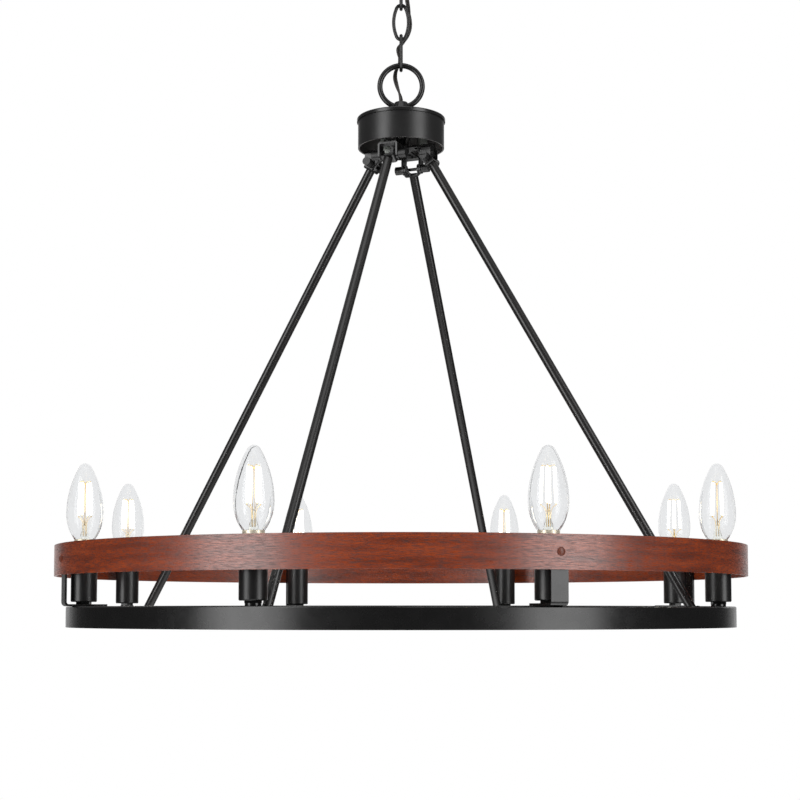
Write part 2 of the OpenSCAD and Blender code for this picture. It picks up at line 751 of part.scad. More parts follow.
// A strap's section in the radial plane: a leg behind the band and a foot on the lamp ring
module strap_section() {
    b = strap_bend_r;
    leg_h = band_bottom + band_h - strap_down - ring_top;
    foot = strap_face - ring_inner + strap_foot_in;
    translate([foot - strap_t, b]) square([strap_t, leg_h - b]);
    square([foot - b, strap_t]);
    intersection() {
        translate([foot - b, b]) difference() {
            circle(r = b, $fn = 48);
            circle(r = b - strap_t, $fn = 48);
        }
        translate([foot - b, 0]) square([b, b]);
    }
}

module band_straps() {
    color("#2b2b2d") difference() {
        around(strap_azimuths, ring_inner - strap_foot_in) translate([0, 0, ring_top]) rotate([90, 0, 0])
            linear_extrude(strap_w, center = true) strap_section();
        around(strap_azimuths, lamp_r) translate([0, 0, ring_top - cut])
            cylinder(d = nipple_d + 2 * fit_gap, h = strap_t + 2 * cut);
        around(strap_azimuths, band_r) translate([0, 0, band_mid]) rotate([0, 90, 0])
            cylinder(d = band_screw_d + 2 * fit_gap, h = 8 * band_t, center = true);
    }
}

module band_fasteners() {
    grip = band_t + strap_t + band_r - band_t - strap_face;
    nut_t = 2.4;
    nut_w = 7;
    tail = 1;
    head_r = 0.75 * band_screw_head_d;
    color("#3a3a3c") around(strap_azimuths, band_r) translate([0, 0, band_mid]) rotate([0, 90, 0]) {
        intersection() {
            cylinder(d = band_screw_head_d, h = band_screw_head_h);
            translate([0, 0, band_screw_head_h - head_r]) sphere(r = head_r);
        }
        translate([0, 0, -grip - nut_t - tail])
            cylinder(d = band_screw_d, h = grip + nut_t + tail + cut / 2);
        translate([0, 0, -grip - nut_t]) hex_nut(nut_w, band_screw_d + 2 * fit_gap, nut_t);
    }
}

// Lamps
module lamp_nipples() {
    color("goldenrod") around(lamp_azimuths, lamp_r) translate([0, 0, lamp_nipple_bottom])
        tube(nipple_d, nipple_bore, lamp_nipple_top - lamp_nipple_bottom);
}

module lamp_nuts() {
    color("#3a3a3c") {
        around(lamp_azimuths, lamp_r) {
            translate([0, 0, nut_z]) hex_nut(lamp_nut_w, nipple_d + 2 * fit_gap, lamp_nut_h);
            translate([0, 0, ring_top - ring_sheet - nut_h])
                hex_nut(nut_flats, nipple_d + 2 * fit_gap, nut_h);
        }
        around(rod_azimuths, lamp_r) translate([0, 0, ring_top])
            tube(washer_d, nipple_d + 2 * fit_gap, strap_t);
    }
}

module lamp_covers() {
    color("#2b2b2d") around(lamp_azimuths, lamp_r) translate([0, 0, cover_z + cover_h]) difference() {
        cup(cover_d / 2, cover_h, cover_wall, cover_wall + 0.2);
        translate([0, 0, -cover_h - cut])
            cylinder(d = nipple_d + 2 * fit_gap, h = cover_wall + 2 * cut);
    }
}

module lamp_holders() {
    color("#e8e4da") around(lamp_azimuths, lamp_r) difference() {
        translate([0, 0, holder_z]) cylinder(d = holder_d, h = holder_h);
        translate([0, 0, contact_z]) cylinder(d = holder_bore_d, h = socket_depth + cut);
        translate([0, 0, holder_z - cut])
            cylinder(d = nipple_d + 2 * fit_gap, h = lamp_nipple_top - holder_z + cut + fit_gap);
        translate([0, 0, holder_z]) cylinder(d = nipple_bore - 1, h = holder_h);
    }
}

module lamp_contacts() {
    color("goldenrod") around(lamp_azimuths, lamp_r) {
        translate([0, 0, contact_z + socket_seat])
            tube(holder_bore_d - 2 * fit_gap, shell_d + 2 * seat_gap, socket_depth - 2 * socket_seat);
        translate([-contact_w / 2, -5, contact_z]) cube([contact_w, 10, contact_t]);
        translate([-contact_w / 2, -2, contact_z + contact_t])
            cube([contact_w, 4, base_tip_z - contact_z - contact_t - seat_gap]);
    }
}

// Half section of the bulb glass, drawn in by inset
module glass_section(inset) {
    intersection() {
        translate([glass_r - low_r, glass_wide_z]) circle(r = low_r - inset, $fn = 240);
        square([glass_d, glass_wide_z + glass_tip_r]);
    }
    intersection() {
        translate([glass_r - up_r, glass_wide_z]) circle(r = up_r - inset, $fn = 240);
        translate([0, glass_wide_z])
            square([glass_d, tip_z + (glass_tip_r - inset) * sin(up_turn) - glass_wide_z]);
    }
    intersection() {
        translate([0, tip_z]) circle(r = glass_tip_r - inset);
        translate([0, tip_z - glass_tip_r]) square([glass_d, glass_d]);
    }
}

module bulb_glass(i) {
    color("white", 0.35) rotate([0, 0, lamp_azimuths[i]]) translate([lamp_r, 0, glass_z])
        rotate_extrude() difference() {
            glass_section(0);
            glass_section(glass_wall);
        }
}

module filament(a) {
    lean = atan2(filament_low_r - filament_high_r, filament_l);
    rotate([0, 0, a]) translate([filament_low_r, 0, filament_z]) rotate([0, -lean, 0]) {
        cylinder(d = filament_d, h = filament_l, $fn = 24);
        translate([0, 0, -support_drop]) cylinder(d = support_d, h = support_drop + support_t, $fn = 24);
    }
}

module bulb_base(i) {
    stem_top = filament_z + filament_l + 2.6;
    color("gold") rotate([0, 0, lamp_azimuths[i]]) translate([lamp_r, 0, 0]) {
        translate([0, 0, base_tip_z]) cylinder(d1 = base_tip_d, d2 = base_step_d, h = base_tip_h);
        translate([0, 0, base_shell_z]) cylinder(d = shell_d, h = shell_l);
        translate([0, 0, base_shell_z + shell_l])
            cylinder(d1 = shell_d, d2 = glass_neck_d, h = base_cone_h);
        translate([0, 0, glass_z - base_collar_h]) cylinder(d = glass_neck_d, h = base_collar_h);
        translate([0, 0, glass_z]) {
            cylinder(d = stem_d, h = stem_h);
            translate([0, 0, stem_h]) cylinder(d1 = stem_d, d2 = stem_tip_d, h = stem_tip_h);
            translate([0, 0, stem_h + stem_tip_h / 2])
                cylinder(d = stem_wire_d, h = stem_top - stem_h - stem_tip_h / 2, $fn = 24);
            translate([0, 0, filament_z - support_drop - fit_gap])
                cylinder(r = filament_low_r + 1.5 * support_d, h = support_t);
            translate([0, 0, filament_z + filament_l - support_t / 2])
                cylinder(r = filament_high_r + 1.5 * support_d, h = support_t);
            for (a = [45:90:315]) filament(a);
        }
    }
}

module bulb_1_glass() { bulb_glass(0); }
module bulb_2_glass() { bulb_glass(1); }
module bulb_3_glass() { bulb_glass(2); }
module bulb_4_glass() { bulb_glass(3); }
module bulb_5_glass() { bulb_glass(4); }
module bulb_6_glass() { bulb_glass(5); }
module bulb_7_glass() { bulb_glass(6); }
module bulb_8_glass() { bulb_glass(7); }
module bulb_1_base() { bulb_base(0); }
module bulb_2_base() { bulb_base(1); }
module bulb_3_base() { bulb_base(2); }
module bulb_4_base() { bulb_base(3); }
module bulb_5_base() { bulb_base(4); }
module bulb_6_base() { bulb_base(5); }
module bulb_7_base() { bulb_base(6); }
module bulb_8_base() { bulb_base(7); }

// Wiring
module splice_caps() {
    color("#7d837f") for (p = cap_places) translate(p) {
        cylinder(d1 = cap_d - 1.5 * cap_rim_h, d2 = cap_d, h = cap_rim_h);
        translate([0, 0, cap_rim_h]) cylinder(d = cap_d, h = cap_h - cap_rim_h);
    }
}

function turned(p, a) = [p[0] * cos(a) + p[1] * sin(a), p[1] * cos(a) - p[0] * sin(a), p[2]];
function cap_end(k, a) = cap_places[k] + [cap_lead_r * cos(a), cap_lead_r * sin(a), cap_h + fit_gap];
// A point beside a rod, x out from its middle line and s down from its upper pivot
function by_rod(x, s) = [pivot_r, 0, pivot_z] + s * [sin(rod_lean), 0, -cos(rod_lean)]
    + x * [cos(rod_lean), 0, sin(rod_lean)];

module rod_lead(i) {
    end = turned(cap_end(rod_caps[i], rod_cap_angles[i]), rod_azimuths[i]);
    rise = [lead_hole_r, 0, spider_z + 13];
    foot = [lug_pivot_r, 0, lug_pivot_z];
    route = [
        end, end + [0, 0, 3.4], (end + rise) / 2 + [0, 0, 5.5], rise, [lead_hole_r, 0, spider_z + 1],
        [lead_hole_r + 2, 2.6, spider_z - 5], by_rod(-5.6, -2.4) + [0, 5, 0],
        by_rod(-4, 2.2) + [0, 3.2, 0], by_rod(-1.2, 6.2) + [0, 0.5, 0],
        by_rod(0, 13), by_rod(0, rod_span - 15), by_rod(0.3, rod_span - 11.2),
        by_rod(2.2, rod_span - 8.6), by_rod(5.6, rod_span - 7.9), foot + [4.4, 0, 8.6],
        foot + [6.3, 0, 5.6], foot + [9, 0, lead_entry_z], foot + [12.6, 0, lead_entry_z],
        foot + [15.4, 0, 1], foot + [16, 0, -4]
    ];
    rotate([0, 0, rod_azimuths[i]]) swept(route, lead_d, lead_sides, 3);
}

module hub_lead(k) {
    end = cap_end(k, hub_cap_angles[k]);
    s = sign(end[0]);
    t = sign(end[1]);
    low = [0, 0, nipple_slot_z + nipple_slot_h / 2];
    exit = low + [1.7 * s, 6.5 * t, -0.4];
    route = [
        low + [1.4 * s, 1.2 * t, 3], low + [1.4 * s, 1.6 * t, 1.2], low + [1.5 * s, 3.4 * t, -0.4],
        exit, (exit + end) / 2 + [0, t, 2.6], end + [0, 0, 3.2], end
    ];
    swept(route, lead_d, lead_sides, 3);
}

module wiring() {
    color("#b9b4a8") {
        for (i = [0:3]) rod_lead(i);
        for (k = [0:1]) hub_lead(k);
        translate([0, 0, harness_z]) rotate_extrude() translate([lamp_r, 0]) circle(d = harness_d, $fn = 24);
        around(lamp_azimuths, lamp_r) translate([0, 0, harness_z + harness_d / 2 + seat_gap])
            cylinder(d = lamp_lead_d, h = contact_z - fit_gap - harness_z - harness_d / 2 - seat_gap);
    }
}

ceiling_crossbar();
crossbar_nipple();
crossbar_nuts();
ground_screw();
canopy();
canopy_collar();
canopy_loop();
chain_link_1();
chain_link_2();
chain_link_3();
cord_1();
cord_2();
cord_3();
cord_4();
hub_loop();
hub_nipple();
hub_nuts();
hub_lid();
hub_drum();
hub_spider();
hub_brackets();
rod_clevises();
pivot_bolts();
pivot_nuts();
rod_1();
rod_2();
rod_3();
rod_4();
ring_lugs();
lamp_ring();
ring_cover();
wood_band();
band_straps();
band_fasteners();
lamp_nipples();
lamp_nuts();
lamp_covers();
lamp_holders();
lamp_contacts();
splice_caps();
wiring();
bulb_1_glass();
bulb_2_glass();
bulb_3_glass();
bulb_4_glass();
bulb_5_glass();
bulb_6_glass();
bulb_7_glass();
bulb_8_glass();
bulb_1_base();
bulb_2_base();
bulb_3_base();
bulb_4_base();
bulb_5_base();
bulb_6_base();
bulb_7_base();
bulb_8_base();
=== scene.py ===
"""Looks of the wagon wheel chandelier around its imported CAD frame. Metres, +Z up, origin on the ceiling."""
import math

import bpy
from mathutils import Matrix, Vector


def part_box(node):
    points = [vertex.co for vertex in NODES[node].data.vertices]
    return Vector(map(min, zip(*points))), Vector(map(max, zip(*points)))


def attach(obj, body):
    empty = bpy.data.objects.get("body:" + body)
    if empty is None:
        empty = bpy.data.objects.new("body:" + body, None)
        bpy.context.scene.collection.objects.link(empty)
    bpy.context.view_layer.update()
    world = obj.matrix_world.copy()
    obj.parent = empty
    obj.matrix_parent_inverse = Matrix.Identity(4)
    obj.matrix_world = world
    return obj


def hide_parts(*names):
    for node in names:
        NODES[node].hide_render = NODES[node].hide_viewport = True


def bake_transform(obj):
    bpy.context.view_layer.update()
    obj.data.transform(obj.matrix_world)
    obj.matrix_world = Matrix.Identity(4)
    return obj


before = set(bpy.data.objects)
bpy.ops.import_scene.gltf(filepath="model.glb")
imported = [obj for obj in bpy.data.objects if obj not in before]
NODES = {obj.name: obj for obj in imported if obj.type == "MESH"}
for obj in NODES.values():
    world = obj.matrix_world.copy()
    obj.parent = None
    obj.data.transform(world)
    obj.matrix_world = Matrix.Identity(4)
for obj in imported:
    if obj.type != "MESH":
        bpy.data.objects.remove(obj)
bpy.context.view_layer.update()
SCENE = bpy.context.scene
MM = 0.001

# Camera: the photograph's viewpoint, about level with the lamp ring and pitched up a little
FOCAL_PX = 1659
IMAGE_PX = 800
SENSOR_MM = 36
EYE = (0, -1.67538, -0.71714)
PITCH_DEG = 4
CENTRE_PX = (401.1, 496.4)

camera_data = bpy.data.cameras.new("camera")
camera_data.sensor_width = SENSOR_MM
camera_data.lens = FOCAL_PX / IMAGE_PX * SENSOR_MM
camera_data.shift_x = -(CENTRE_PX[0] - IMAGE_PX / 2) / IMAGE_PX
camera_data.shift_y = (CENTRE_PX[1] - IMAGE_PX / 2) / IMAGE_PX
camera = bpy.data.objects.new("camera", camera_data)
camera.location = EYE
camera.rotation_euler = (math.radians(90 + PITCH_DEG), 0, 0)
SCENE.collection.objects.link(camera)
SCENE.camera = camera

# Heights of the chain and the hub in millimetres, as in part.scad
LOOP_TOP_Z = -50
LINK_Z = (-77, -109.3, -141.6)
LOOP_Z = -176.65
HUB_TOP_Z = -211
RIM_Z = -242


class Nodes:
    """A node tree, with a method for each kind of node that the materials and the world use."""

    def __init__(self, tree):
        self.tree = tree

    def add(self, kind, **values):
        node = self.tree.nodes.new(kind)
        for key, value in values.items():
            if key in node.bl_rna.properties:
                setattr(node, key, value)
            else:
                node.inputs[key.replace("_", " ")].default_value = value
        return node

    def link(self, a, b):
        self.tree.links.new(a, b)

    def coords(self, scale=(1, 1, 1)):
        source = self.add("ShaderNodeTexCoord")
        mapping = self.add("ShaderNodeMapping", Scale=scale)
        self.link(source.outputs["Object"], mapping.inputs["Vector"])
        return mapping.outputs["Vector"]

    def noise(self, vector, scale, detail=4, roughness=0.55):
        node = self.add("ShaderNodeTexNoise", Scale=scale, Detail=detail, Roughness=roughness)
        self.link(vector, node.inputs["Vector"])
        return node.outputs["Fac"]

    def ramp(self, factor, stops):
        node = self.add("ShaderNodeValToRGB")
        ramp = node.color_ramp
        while len(ramp.elements) < len(stops):
            ramp.elements.new(0.5)
        for element, (at, colour) in zip(ramp.elements, stops):
            element.position = at
            element.color = (*colour, 1)
        self.link(factor, node.inputs["Fac"])
        return node.outputs["Color"]

    def spread(self, factor, low, high):
        node = self.add("ShaderNodeMapRange", To_Min=low, To_Max=high)
        self.link(factor, node.inputs["Value"])
        return node.outputs["Result"]

    def math(self, operation, a, b):
        node = self.add("ShaderNodeMath", operation=operation)
        for socket, value in zip(node.inputs, (a, b)):
            if isinstance(value, (int, float)):
                socket.default_value = value
            else:
                self.link(value, socket)
        return node.outputs["Value"]

    def mix(self, factor, a, b, blend="MIX"):
        node = self.add("ShaderNodeMix", data_type="RGBA", blend_type=blend)
        for name, value in (("Factor_Float", factor), ("A_Color", a), ("B_Color", b)):
            socket = next(s for s in node.inputs if s.identifier == name)
            if isinstance(value, (int, float)):
                socket.default_value = value
            elif isinstance(value, tuple):
                socket.default_value = (*value, 1)
            else:
                self.link(value, socket)
        return next(s for s in node.outputs if s.identifier == "Result_Color")

    def bump(self, height, strength, distance, under=None):
        node = self.add("ShaderNodeBump", Strength=strength, Distance=distance)
        self.link(height, node.inputs["Height"])
        if under is not None:
            self.link(under, node.inputs["Normal"])
        return node.outputs["Normal"]

    def place(self):
        """The object's own x, y and z."""
        split = self.add("ShaderNodeSeparateXYZ")
        self.link(self.add("ShaderNodeTexCoord").outputs["Object"], split.inputs["Vector"])
        return split.outputs["X"], split.outputs["Y"], split.outputs["Z"]

    def radius_squared(self):
        """The square of the distance from the object's Z axis."""
        x, y, _ = self.place()
        return self.math("ADD", self.math("MULTIPLY", x, x), self.math("MULTIPLY", y, y))

    def ease(self, value, start, end, low, high):
        """A smooth rise from low to high as the value goes from start to end."""
        node = self.add("ShaderNodeMapRange", interpolation_type="SMOOTHSTEP", From_Min=start, From_Max=end,
                        To_Min=low, To_Max=high)
        self.link(value, node.inputs["Value"])
        return node.outputs["Result"]

    def seen_directly(self):
        """1 on what the camera sees, also through glass, and 0 on what only lights the part."""
        rays = self.add("ShaderNodeLightPath")
        return self.math("MAXIMUM", rays.outputs["Is Camera Ray"], rays.outputs["Is Transmission Ray"])


class Mat(Nodes):
    """A material: its nodes are linked into the principled shader by finish."""

    def __init__(self, name):
        self.material = bpy.data.materials.new(name)
        self.material.use_nodes = True
        super().__init__(self.material.node_tree)
        self.shader = self.tree.nodes["Principled BSDF"]

    def set(self, **values):
        for key, value in values.items():
            self.shader.inputs[key.replace("_", " ")].default_value = value

    def finish(self, colour=None, roughness=None, normal=None):
        for socket, value in (("Base Color", colour), ("Roughness", roughness), ("Normal", normal)):
            if isinstance(value, tuple):
                self.shader.inputs[socket].default_value = (*value, 1)
            elif isinstance(value, (int, float)):
                self.shader.inputs[socket].default_value = value
            elif value is not None:
                self.link(value, self.shader.inputs[socket])
        return self.material


# Powder coat: fine orange peel and a slightly uneven gloss
COAT_PATCHES = 24
COAT_GLOSS = 60
COAT_GLOSS_SPREAD = 0.07
COAT_SPECULAR = 0.55
PEEL_MM = 0.35
PEEL_DEPTH_MM = 0.08
PEEL_STRENGTH = 0.1
# Patches of the inner coat of cup_metal, up to this gain lighter; on the drum that inner coat is painted
# light
INSIDE_PATCHES = 90
INSIDE_PATCH_GAIN = 1.5


def finish_coat(m, vector, colour, rough, peel_mm):
    roughness = m.spread(m.noise(vector, COAT_GLOSS), rough - COAT_GLOSS_SPREAD, rough + COAT_GLOSS_SPREAD)
    m.set(Specular_IOR_Level=COAT_SPECULAR)
    peel = m.noise(vector, 1 / (peel_mm * MM), 2)
    return m.finish(colour, roughness, m.bump(peel, PEEL_STRENGTH, PEEL_DEPTH_MM * MM))


def coated_metal(name, dark, light, rough, peel_mm=PEEL_MM):
    """Satin powder coat, its colour a little lighter in patches."""
    m = Mat(name)
    vector = m.coords()
    colour = m.mix(m.noise(vector, COAT_PATCHES, 3), dark, light)
    return finish_coat(m, vector, colour, rough, peel_mm)


def cup_metal(name, inner_r, dark, light, inside, rough):
    """One coat outside the radius inner_r, in millimetres, and another inside it, lighter in patches. On the
    drum the inner coat is painted light, coloured far lighter than the black outside.
    """
    m = Mat(name)
    vector = m.coords()
    within = m.math("LESS_THAN", m.radius_squared(), (inner_r * MM) ** 2)
    outer = m.mix(m.noise(vector, COAT_PATCHES, 3), dark, light)
    inner = m.mix(m.noise(vector, INSIDE_PATCHES), inside, tuple(INSIDE_PATCH_GAIN * c for c in inside))
    return finish_coat(m, vector, m.mix(within, outer, inner), rough, PEEL_MM)


# Plated metal: fine level marks, which also change the gloss
METAL_PATCHES = 120
METAL_MARKS = 900
MARKS_STRETCH = (1, 1, 6)
MARKS_STRENGTH = 0.15
MARKS_DEPTH_MM = 0.03


def metal(name, colour_a, colour_b, rough, metallic=1.0):
    """Plated metal, its tone between two colours in patches."""
    m = Mat(name)
    colour = m.mix(m.noise(m.coords(), METAL_PATCHES, 3), colour_a, colour_b)
    marks = m.noise(m.coords(MARKS_STRETCH), METAL_MARKS, 2)
    m.set(Metallic=metallic)
    roughness = m.spread(marks, rough - 0.08, rough + 0.1)
    return m.finish(colour, roughness, m.bump(marks, MARKS_STRENGTH, MARKS_DEPTH_MM * MM))


# Radius of the band's outside in metres, which sets the scale of its grain
BAND_R = 0.3429


def wood(name, dark, mid, light, streak):
    """Mahogany look: fine broken lines round the band, a cloudy tone and a satin lacquer over them."""
    m = Mat(name)
    x, y, z = m.place()
    flat = m.add("ShaderNodeCombineXYZ")
    m.link(m.math("MULTIPLY", m.math("ARCTAN2", y, x), BAND_R), flat.inputs["X"])
    m.link(z, flat.inputs["Y"])

    def grey(level):
        return (level, level, level)

    def streaks(long_mm, high_mm, detail, roughness=0.6):
        mapping = m.add("ShaderNodeMapping", Scale=(1 / (long_mm * MM), 1 / (high_mm * MM), 1))
        m.link(flat.outputs["Vector"], mapping.inputs["Vector"])
        return m.noise(mapping.outputs["Vector"], 1, detail, roughness)

    clouds = streaks(170, 60, 2)
    bands = streaks(70, 7, 2, 0.5)
    fibres = streaks(10, 0.8, 3, 0.65)
    pores = streaks(4, 0.7, 1, 0.5)
    tone = m.ramp(bands, [(0.34, dark), (0.5, mid), (0.66, light)])
    tone = m.mix(m.spread(clouds, 0.0, 0.5), tone, mid)
    lines = m.ramp(fibres, [(0.4, streak), (0.5, grey(0.88)), (0.6, (1.26, 1.34, 1.44))])
    tone = m.mix(1.0, tone, lines, "MULTIPLY")
    marks = m.ramp(pores, [(0.32, (0.45, 0.4, 0.4)), (0.44, grey(1))])
    tone = m.mix(0.7, tone, marks, "MULTIPLY")
    roughness = m.ramp(fibres, [(0.41, grey(0.5)), (0.5, grey(0.34)), (0.59, grey(0.27))])
    normal = m.bump(fibres, 0.3, 0.1 * MM, m.bump(pores, 0.3, 0.06 * MM))
    m.set(Specular_IOR_Level=0.75, Coat_Weight=0.3, Coat_Roughness=0.22)
    return m.finish(tone, roughness, normal)


PLASTIC_PATCHES = 200
PLASTIC_GLOSS = 500
PLASTIC_GLOSS_SPREAD = 0.06
PLASTIC_GRAIN = 1500
PLASTIC_GRAIN_STRENGTH = 0.08
PLASTIC_GRAIN_DEPTH_MM = 0.05


def plastic(name, colour_a, colour_b, rough):
    """Moulded plastic or rubber: a tone between two colours and a fine grain."""
    m = Mat(name)
    vector = m.coords()
    colour = m.mix(m.noise(vector, PLASTIC_PATCHES, 3), colour_a, colour_b)
    low, high = rough - PLASTIC_GLOSS_SPREAD, rough + PLASTIC_GLOSS_SPREAD
    roughness = m.spread(m.noise(vector, PLASTIC_GLOSS, 2), low, high)
    grain = m.noise(vector, PLASTIC_GRAIN, 2)
    return m.finish(colour, roughness, m.bump(grain, PLASTIC_GRAIN_STRENGTH, PLASTIC_GRAIN_DEPTH_MM * MM))


def glass(name, tint, ior):
    """Clear glass. An index lower than real glass has bends the view of what is inside less."""
    m = Mat(name)
    m.set(Transmission_Weight=1.0, IOR=ior, Roughness=0.0)
    return m.finish(tint)


def glow(name, colour, strength):
    """Phosphor of a lit filament: warm white, a little uneven along its length."""
    m = Mat(name)
    beads = m.noise(m.coords(), 700, 2)
    amber = (1.0, 0.78, 0.42)
    tone = m.mix(m.spread(beads, 0, 0.35), colour, amber)
    m.link(tone, m.shader.inputs["Emission Color"])
    m.set(Emission_Strength=strength)
    return m.finish(tone, 0.5)


JET = (0.004, 0.004, 0.004)
SOOT = (0.007, 0.0068, 0.007)
COAL = (0.007, 0.007, 0.007)
# Painted light: within DRUM_INNER_R of its axis the drum is coloured far lighter than its black outside,
# standing in for light in its hollow
DRUM_INSIDE_PAINTED_LIGHT = (0.085, 0.082, 0.08)
DRUM_INNER_R = 43.7
SCREW_HEAD_FROM_R = 341

BLACK = coated_metal("black_powder_coat", JET, SOOT, 0.27)
DRUM = cup_metal("black_drum_coat_painted_light_inside", DRUM_INNER_R, JET, SOOT, DRUM_INSIDE_PAINTED_LIGHT, 0.37)
SCREW_PAINT = cup_metal("painted_screw_head", SCREW_HEAD_FROM_R, (0.1, 0.026, 0.015), (0.17, 0.045, 0.026),
                        (0.006, 0.006, 0.006), 0.35)
BLACK_ROD = coated_metal("black_rod_coat", (0.005, 0.0045, 0.0045), (0.009, 0.008, 0.008), 0.27)
BLACK_HARDWARE = coated_metal("black_hardware", JET, COAL, 0.2, 0.4)
BOLT_COAT = coated_metal("black_bolt_coat", JET, COAL, 0.45)
CUP_COAT = coated_metal("black_cup_coat", JET, SOOT, 0.33, 0.2)
CHAIN_BLACK = coated_metal("black_chain", COAL, (0.013, 0.013, 0.013), 0.26, 0.5)
WOOD = wood("mahogany", dark=(0.12, 0.0185, 0.005), mid=(0.216, 0.0315, 0.006), light=(0.285, 0.047, 0.01),
            streak=(0.44, 0.4, 0.46))
BRASS = metal("brass", (0.62, 0.44, 0.16), (0.74, 0.56, 0.25), 0.3)
ZINC = metal("zinc", (0.52, 0.53, 0.54), (0.66, 0.66, 0.65), 0.38)
GOLD = metal("gilt", (0.82, 0.55, 0.2), (0.95, 0.72, 0.33), 0.22)
PALE_GILT = metal("pale_gilt", (0.74, 0.66, 0.5), (0.86, 0.79, 0.64), 0.34, 0.5)
GREEN = metal("green_screw", (0.02, 0.22, 0.07), (0.05, 0.34, 0.12), 0.35, 0.6)
GLASS = glass("bulb_glass", (0.9, 0.905, 0.91), 1.22)
STEM_GLASS = glass("stem_glass", (0.93, 0.94, 0.9), 1.06)
FILAMENT = glow("filament", (1.0, 0.97, 0.86), 1.9)
INSULATOR = plastic("phenolic", (0.62, 0.6, 0.54), (0.72, 0.7, 0.64), 0.55)
CAP = plastic("splice_cap", (0.16, 0.172, 0.158), (0.21, 0.223, 0.205), 0.45)
WIRE = plastic("wire_jacket", (0.012, 0.012, 0.012), (0.03, 0.03, 0.03), 0.45)
LEAD = plastic("lead_jacket", (0.015, 0.013, 0.012), (0.035, 0.03, 0.026), 0.33)


# Mesh helpers
def new_object(name, mesh, material, body=None):
    piece = bpy.data.objects.new(name, mesh)
    SCENE.collection.objects.link(piece)
    mesh.materials.append(material)
    mesh.polygons.foreach_set("use_smooth", [True] * len(mesh.polygons))
    if body:
        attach(piece, body)
    return piece


def mesh_of(name, points, faces):
    mesh = bpy.data.meshes.new(name)
    mesh.from_pydata([Vector(p) * MM for p in points], [], faces)
    mesh.update()
    return mesh


def ring_faces(rings, sides):
    """Faces that join rings of points into a skin, closed at both ends."""
    faces = []
    for i in range(rings - 1):
        for k in range(sides):
            n = (k + 1) % sides
            faces.append((i * sides + k, i * sides + n, (i + 1) * sides + n, (i + 1) * sides + k))
    last = (rings - 1) * sides
    faces.append(tuple(range(sides))[::-1])
    faces.append(tuple(range(last, last + sides)))
    return faces


def lathe(profile, sides, centre):
    """Points and faces of a profile of (radius, height) turned about +Z at the centre."""
    points = []
    cx, cy, cz = centre
    for r, z in profile:
        for k in range(sides):
            a = 2 * math.pi * k / sides
            points.append((cx + r * math.cos(a), cy + r * math.sin(a), cz + z))
    return points, ring_faces(len(profile), sides)


def merge(*parts):
    points, faces = [], []
    for p, f in parts:
        base = len(points)
        points += p
        faces += [tuple(i + base for i in face) for face in f]
    return points, faces


def frames_along(path):
    """Unit tangents and a normal at each point of a path that turns as little as it can."""
    tangents = []
    for i in range(len(path)):
        tangents.append((path[min(i + 1, len(path) - 1)] - path[max(i - 1, 0)]).normalized())
    side = tangents[0].cross(Vector((0, 1, 0)))
    side = (side if side.length > 0.1 else tangents[0].cross(Vector((1, 0, 0)))).normalized()
    sides = [side]
    for a, b in zip(tangents, tangents[1:]):
        side = (a.rotation_difference(b) @ side).normalized()
        sides.append(side)
    return tangents, sides


def tube(path, radius, sides):
    """Points and faces of a tube along a path. radius is a number or one for each point."""
    radii = radius if isinstance(radius, (list, tuple)) else [radius] * len(path)
    tangents, normals = frames_along(path)
    points = []
    for p, t, u, r in zip(path, tangents, normals, radii):
        v = t.cross(u)
        for k in range(sides):
            a = 2 * math.pi * k / sides
            points.append(p + r * (math.cos(a) * u + math.sin(a) * v))
    return points, ring_faces(len(path), sides)


def smooth_path(route, steps):
    """A smooth curve through given points, as the sweep in part.scad makes it."""
    p = [Vector(q) for q in route]
    last = len(p) - 1

    def heading(i):
        return (p[min(i + 1, last)] - p[max(i - 1, 0)]).normalized()

    path = []
    for i in range(last):
        a, b = p[i], p[i + 1]
        length = (b - a).length
        u, v = heading(i) * length, heading(i + 1) * length
        for k in range(steps):
            t = k / steps
            path.append((2 * t**3 - 3 * t**2 + 1) * a + (t**3 - 2 * t**2 + t) * u
                        + (3 * t**2 - 2 * t**3) * b + (t**3 - t**2) * v)
    path.append(p[last])
    return path


# The lead: two jackets twisted round each other, one piece across each joint of the chain
L1, L2, L3 = LINK_Z
LEAD_ROUTES = (
    [(0, 0, 5), (0, 0, -12), (0, 0, LOOP_TOP_Z + 20), (0, 0, LOOP_TOP_Z + 9), (1, 1, LOOP_TOP_Z + 3.5),
     (3.4, 3.6, LOOP_TOP_Z - 2), (5.4, 6.2, LOOP_TOP_Z - 8), (6, 7.8, LOOP_TOP_Z - 14),
     (6, 8.2, L1 + 6), (6, 8.2, L1)],
    [(6, 8.2, L1), (6.3, 8, L1 - 6), (7.4, 7, L1 - 13), (8.6, 6, L1 - 20), (9.2, 5.4, L2 + 6),
     (9.3, 5.2, L2)],
    [(9.3, 5.2, L2), (8.6, 5.8, L2 - 6), (6.2, 8, L2 - 12.5), (2.4, 10.8, L2 - 17.5),
     (-1.6, 12.4, L2 - 21), (-3.0, 12.7, L3 + 8), (-2.3, 12.7, L3 + 4), (-1, 12.6, L3)],
    [(-1, 12.6, L3), (-1.4, 12.1, L3 - 5), (-3, 10.9, L3 - 10.5), (-5.4, 8.8, LOOP_Z + 18.5),
     (-6.2, 7, LOOP_Z + 11.5), (-4.6, 4.2, LOOP_Z + 3), (-2.2, 1.8, LOOP_Z - 5),
     (-0.6, 0.4, LOOP_Z - 11), (0, 0, HUB_TOP_Z + 18), (0, 0, HUB_TOP_Z + 4), (0, 0, RIM_Z + 17)],
)
LEAD_D = 4.4
JACKET_R = 1.18
JACKET_SIDES = 10
TWIST_PITCH = 60
STEPS_BETWEEN_POINTS = 6


